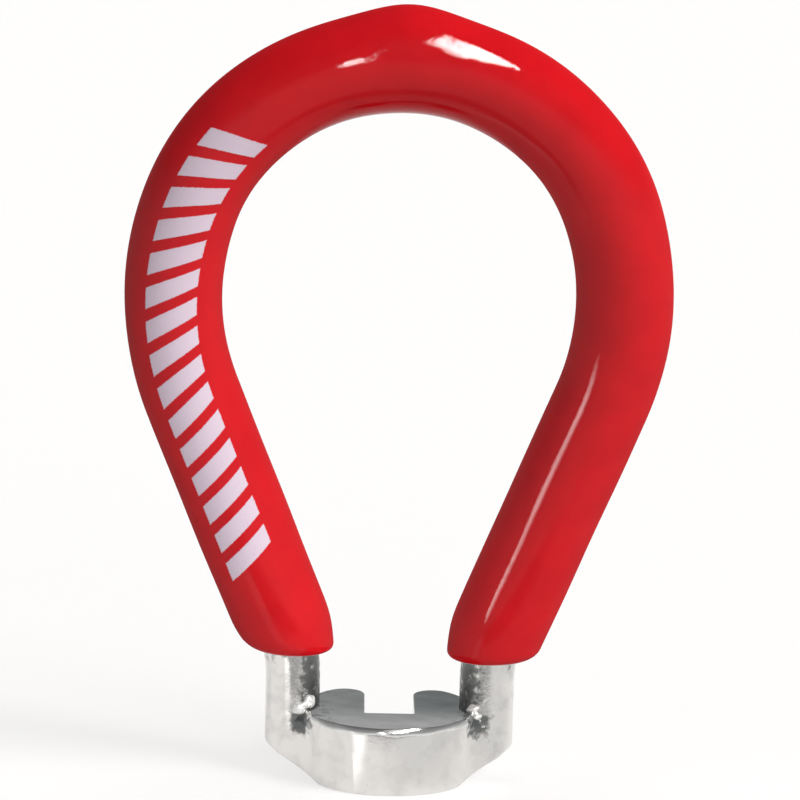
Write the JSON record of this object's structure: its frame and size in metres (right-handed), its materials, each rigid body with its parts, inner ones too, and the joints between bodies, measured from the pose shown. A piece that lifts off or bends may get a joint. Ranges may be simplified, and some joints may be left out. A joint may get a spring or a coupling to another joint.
{
  "type": "spoke wrench",
  "caption": "Hand spoke wrench: teardrop loop of steel wire dipped in red vinyl, its ends welded into a plated slotted disc that turns square spoke nipples.",
  "frame": {"origin": "on the common axis of the disc and of the spoke nipple that the slot takes, in the plane of the disc's flat base", "axes": "+Z along the spoke, up through the loop; +Y out of the mouth of the slot; +X across the loop, which is alike on both sides"},
  "size_m": [0.0394, 0.015, 0.057],
  "materials": {
    "plated_wire": "bright nickel plate, slightly smudged",
    "plated_head": "bright nickel plate over a tumbled surface, slightly smudged",
    "weld_metal": "lumpy plated weld",
    "dipped_vinyl": "glossy soft dip coat"
  },
  "bodies": {
    "root": {"handle_wire": "plated_wire", "wrench_head": "plated_head", "weld_front_left": "weld_metal", "weld_front_right": "weld_metal", "weld_rear_left": "weld_metal", "weld_rear_right": "weld_metal", "vinyl_grip": "dipped_vinyl"}
  },
  "joints": []
}
